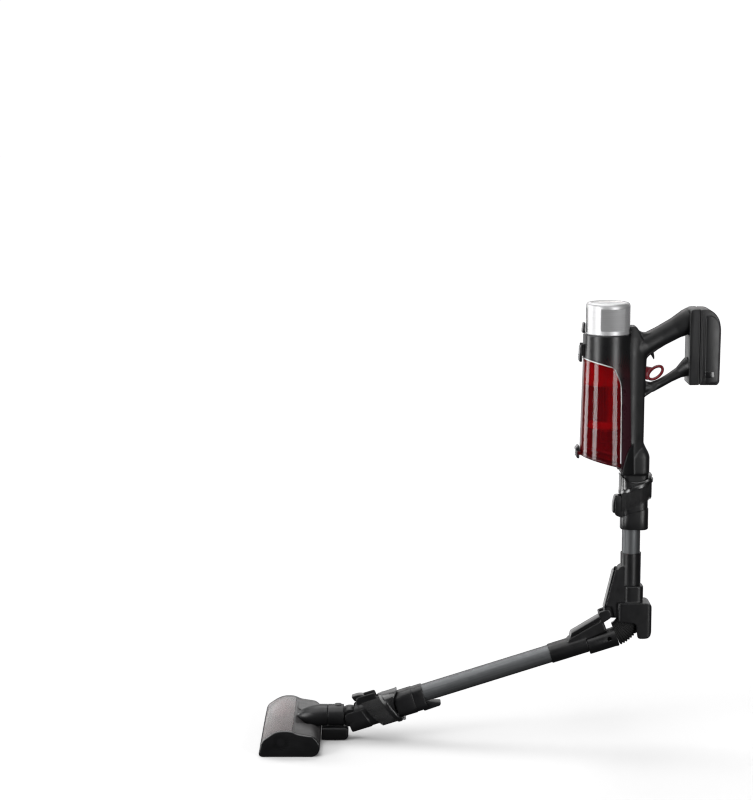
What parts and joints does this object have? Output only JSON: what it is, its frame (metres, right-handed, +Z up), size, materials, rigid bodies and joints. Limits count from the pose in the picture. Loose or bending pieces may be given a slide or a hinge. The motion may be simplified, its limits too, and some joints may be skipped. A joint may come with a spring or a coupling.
{
  "type": "cordless stick vacuum",
  "caption": "Cordless stick vacuum with a clear canister, pistol grip and battery, a wand that folds at a hinge, a dusting brush at each wand end and a powered floor head.",
  "frame": {"origin": "middle of the box around the whole vacuum, on the floor that its head stands on", "axes": "+Z up; the wand and grip lie in the X-Z plane with the floor head towards -X and the battery towards +X; +Y runs along the roller, to the right-hand side"},
  "size_m": [0.901, 0.25, 0.8817],
  "materials": {
    "black_plastic": "satin moulded ABS with fine spark texture",
    "gloss_black": "glossy moulded plastic",
    "grey_plastic": "dark warm grey, satin gloss",
    "silver": "silver finish with a fine perforated band",
    "tube_metal": "dark grey anodised, satin",
    "clear_red": "clear red polycarbonate, glossy",
    "inner_red": "bright red plastic",
    "trigger_red": "dark red, satin gloss",
    "smoked_clear": "smoked clear plastic",
    "rubber": "soft black rubber",
    "bristle": "stiff black nylon bristle",
    "steel": "machined steel",
    "foam": "open-cell filter foam",
    "paper": "pleated filter paper",
    "board": "green circuit board",
    "cell": "shrink-wrapped battery cells",
    "roller": "dusky red nylon pile"
  },
  "bodies": {
    "handheld": {"motor_drum": "black_plastic", "motor": "steel", "body_left": "black_plastic", "body_right": "black_plastic", "trigger_pin": "steel", "control_board": "board", "inlet_duct": "black_plastic", "battery_dock": "black_plastic", "brush_sleeve_upper": "black_plastic", "bristles_upper": "bristle"},
    "impeller": {"impeller": "black_plastic"},
    "exhaust_cap": {"exhaust_cap": "silver", "exhaust_filter": "paper"},
    "cap_latch": {"cap_latch": "black_plastic"},
    "canister": {"canister": "clear_red", "drum_trim": "silver", "lid_pin": "steel", "shroud_mesh": "inner_red", "cyclone_core": "inner_red", "prefilter": "foam"},
    "lid": {"canister_lid": "clear_red", "lid_seal": "rubber"},
    "lid_latch": {"lid_latch": "black_plastic"},
    "canister_button": {"canister_button": "black_plastic"},
    "trigger": {"trigger": "trigger_red"},
    "battery": {"battery_case": "black_plastic", "battery_cells": "cell"},
    "battery_key_left": {"battery_key_left": "black_plastic"},
    "battery_key_right": {"battery_key_right": "black_plastic"},
    "upper_wand": {"wand_collar": "black_plastic", "upper_tube": "tube_metal", "flex_upper_housing": "black_plastic", "flex_knuckle": "black_plastic", "flex_pin": "steel", "flex_bellows": "rubber"},
    "wand_button": {"wand_button": "gloss_black"},
    "flex_lever": {"flex_lever": "gloss_black"},
    "lower_wand": {"flex_barrel": "black_plastic", "flex_lower_housing": "black_plastic", "flex_cover": "gloss_black", "lower_tube": "tube_metal", "wand_end": "black_plastic", "brush_sleeve_lower": "black_plastic", "bristles_lower": "bristle"},
    "head_collar": {"head_collar": "black_plastic"},
    "head_button": {"head_button": "gloss_black"},
    "neck": {"neck_barrel": "black_plastic", "pitch_pin": "steel"},
    "head": {"head_fairing": "black_plastic", "head_shell": "grey_plastic", "head_base": "black_plastic", "head_window": "smoked_clear", "end_cap_left": "gloss_black", "end_cap_right": "gloss_black", "roller_motor": "steel", "drive_belt": "rubber", "wheel_carriage": "black_plastic"},
    "roller": {"roller_brush": "roller"},
    "wheel_left": {"wheel_left": "rubber"},
    "wheel_right": {"wheel_right": "rubber"}
  },
  "joints": [
    {"name": "impeller_spin", "type": "hinge", "parent": "handheld", "child": "impeller", "pos_m": [0.23428, 0, 0.77965], "axis": [0, 0, 1], "continuous": true},
    {"name": "cap_pull", "type": "slide", "parent": "handheld", "child": "exhaust_cap", "axis": [0, 0, 1], "range_m": [0, 0.07]},
    {"name": "cap_latch_press", "type": "slide", "parent": "handheld", "child": "cap_latch", "axis": [1, 0, 0], "range_m": [0, 0.002], "stiffness_N_per_m": 400},
    {"name": "canister_tilt", "type": "hinge", "parent": "handheld", "child": "canister", "pos_m": [0.26678, 0, 0.55165], "axis": [0, -1, 0], "range_deg": [0, 35]},
    {"name": "lid_open", "type": "hinge", "parent": "canister", "child": "lid", "pos_m": [0.25898, 0, 0.55415], "axis": [0, 1, 0], "range_deg": [-80, 0]},
    {"name": "lid_latch_flip", "type": "hinge", "parent": "lid", "child": "lid_latch", "pos_m": [0.17928, 0, 0.57965], "axis": [0, -1, 0], "range_deg": [0, 20], "stiffness_Nm_per_rad": 0.05},
    {"name": "canister_button_press", "type": "slide", "parent": "handheld", "child": "canister_button", "axis": [1, 0, 0], "range_m": [0, 0.0018], "stiffness_N_per_m": 400},
    {"name": "trigger_pull", "type": "hinge", "parent": "handheld", "child": "trigger", "pos_m": [0.29278, 0, 0.74865], "axis": [0, -1, 0], "range_deg": [0, 8], "stiffness_Nm_per_rad": 0.4},
    {"name": "battery_slide", "type": "slide", "parent": "handheld", "child": "battery", "axis": [1, 0, 0], "range_m": [0, 0.06]},
    {"name": "battery_key_left_press", "type": "slide", "parent": "battery", "child": "battery_key_left", "axis": [0, 1, 0], "range_m": [0, 0.002], "stiffness_N_per_m": 400},
    {"name": "battery_key_right_press", "type": "slide", "parent": "battery", "child": "battery_key_right", "axis": [0, -1, 0], "range_m": [0, 0.002], "stiffness_N_per_m": 400},
    {"name": "wand_pull", "type": "slide", "parent": "handheld", "child": "upper_wand", "axis": [0, 0, -1], "range_m": [0, 0.06]},
    {"name": "wand_button_press", "type": "slide", "parent": "upper_wand", "child": "wand_button", "axis": [1, 0, 0], "range_m": [0, 0.003], "stiffness_N_per_m": 400},
    {"name": "flex_fold", "type": "hinge", "parent": "upper_wand", "child": "lower_wand", "pos_m": [0.24078, 0, 0.25915], "axis": [0, 1, 0], "range_deg": [-72.2, 15], "deforming": ["flex_bellows"]},
    {"name": "flex_lever_press", "type": "hinge", "parent": "upper_wand", "child": "flex_lever", "pos_m": [0.23578, 0, 0.26915], "axis": [0, 1, 0], "range_deg": [0, 3], "stiffness_Nm_per_rad": 0.5},
    {"name": "head_pull", "type": "slide", "parent": "lower_wand", "child": "head_collar", "axis": [-0.9521, 0, -0.3057], "range_m": [0, 0.05]},
    {"name": "head_button_press", "type": "slide", "parent": "head_collar", "child": "head_button", "axis": [0.3057, 0, -0.9521], "range_m": [0, 0.003], "stiffness_N_per_m": 400},
    {"name": "head_pitch", "type": "hinge", "parent": "head_collar", "child": "neck", "pos_m": [-0.27264, 0, 0.046], "axis": [0, 1, 0], "range_deg": [-10, 55]},
    {"name": "head_steer", "type": "hinge", "parent": "neck", "child": "head", "pos_m": [-0.30264, 0, 0.0475], "axis": [1, 0, 0], "range_deg": [-60, 60]},
    {"name": "roller_spin", "type": "hinge", "parent": "head", "child": "roller", "pos_m": [-0.40964, 0, 0.025], "axis": [0, 1, 0], "continuous": true},
    {"name": "wheel_left_spin", "type": "hinge", "parent": "head", "child": "wheel_left", "pos_m": [-0.30264, 0, 0.008], "axis": [0, 1, 0], "continuous": true},
    {"name": "wheel_right_spin", "type": "hinge", "parent": "head", "child": "wheel_right", "pos_m": [-0.30264, 0, 0.008], "axis": [0, 1, 0], "continuous": true}
  ]
}
